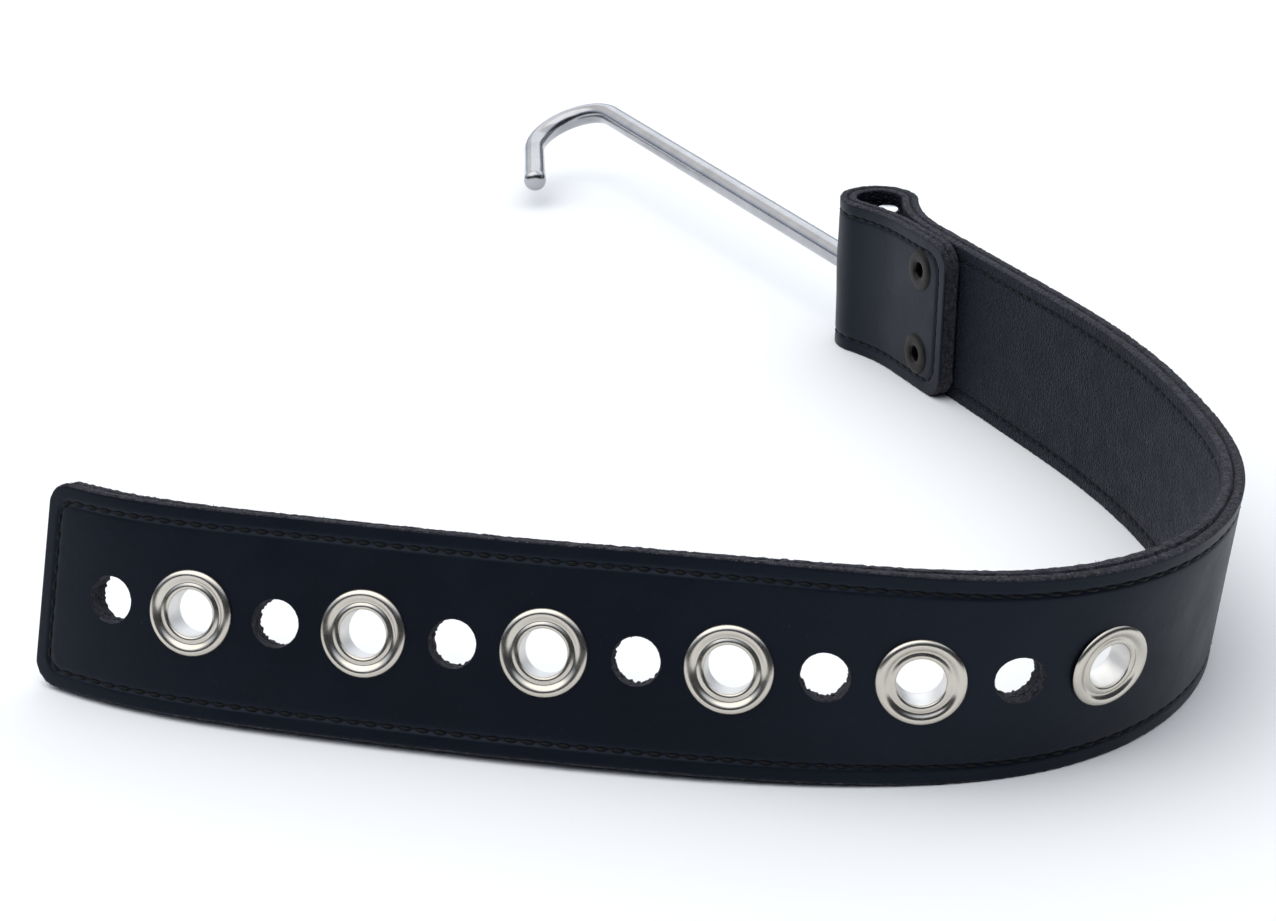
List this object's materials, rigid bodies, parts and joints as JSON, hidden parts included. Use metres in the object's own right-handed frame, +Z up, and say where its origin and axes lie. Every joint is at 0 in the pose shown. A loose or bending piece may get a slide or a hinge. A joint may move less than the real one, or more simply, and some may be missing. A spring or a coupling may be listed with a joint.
{
  "type": "leather strap with hook",
  "caption": "Black two-ply stitched leather strap with a row of punched holes and metal eyelets, folded at one end into a riveted loop that holds a steel rod hook.",
  "frame": {"origin": "middle of the object's footprint, on the surface the strap stands on", "axes": "+X to the right along the row of holes, from the free end towards the bend; +Y away from the row of holes, towards the hook; +Z up, across the strap's width"},
  "size_m": [0.2212, 0.3596, 0.0382],
  "materials": {
    "outer_leather": "smooth satin",
    "lining_leather": "fine pebble grain, matte",
    "thread": "waxed thread",
    "nickel": "polished nickel",
    "black_metal": "satin black",
    "steel": "bright plated"
  },
  "bodies": {
    "strap": {"outer_leather": "outer_leather", "lining_leather": "lining_leather", "needle_thread": "thread", "bobbin_thread": "thread", "eyelet_1": "nickel", "eyelet_2": "nickel", "eyelet_3": "nickel", "eyelet_4": "nickel", "eyelet_5": "nickel", "eyelet_6": "nickel", "eyelet_washer_1": "nickel", "eyelet_washer_2": "nickel", "eyelet_washer_3": "nickel", "eyelet_washer_4": "nickel", "eyelet_washer_5": "nickel", "eyelet_washer_6": "nickel", "rivet_lower": "black_metal", "rivet_upper": "black_metal", "rivet_cap_lower": "black_metal", "rivet_cap_upper": "black_metal"},
    "pin": {"cross_pin": "steel"},
    "hook": {"hook_rod": "steel"}
  },
  "joints": [
    {"name": "hook_draw", "type": "slide", "parent": "strap", "child": "pin", "axis": [-0.4158, 0.9095, 0], "range_m": [0, 0.006]},
    {"name": "hook_swing", "type": "hinge", "parent": "pin", "child": "hook", "pos_m": [0.05745, 0.03028, 0.0188], "axis": [0, 0, 1], "range_deg": [-13, 9]}
  ]
}
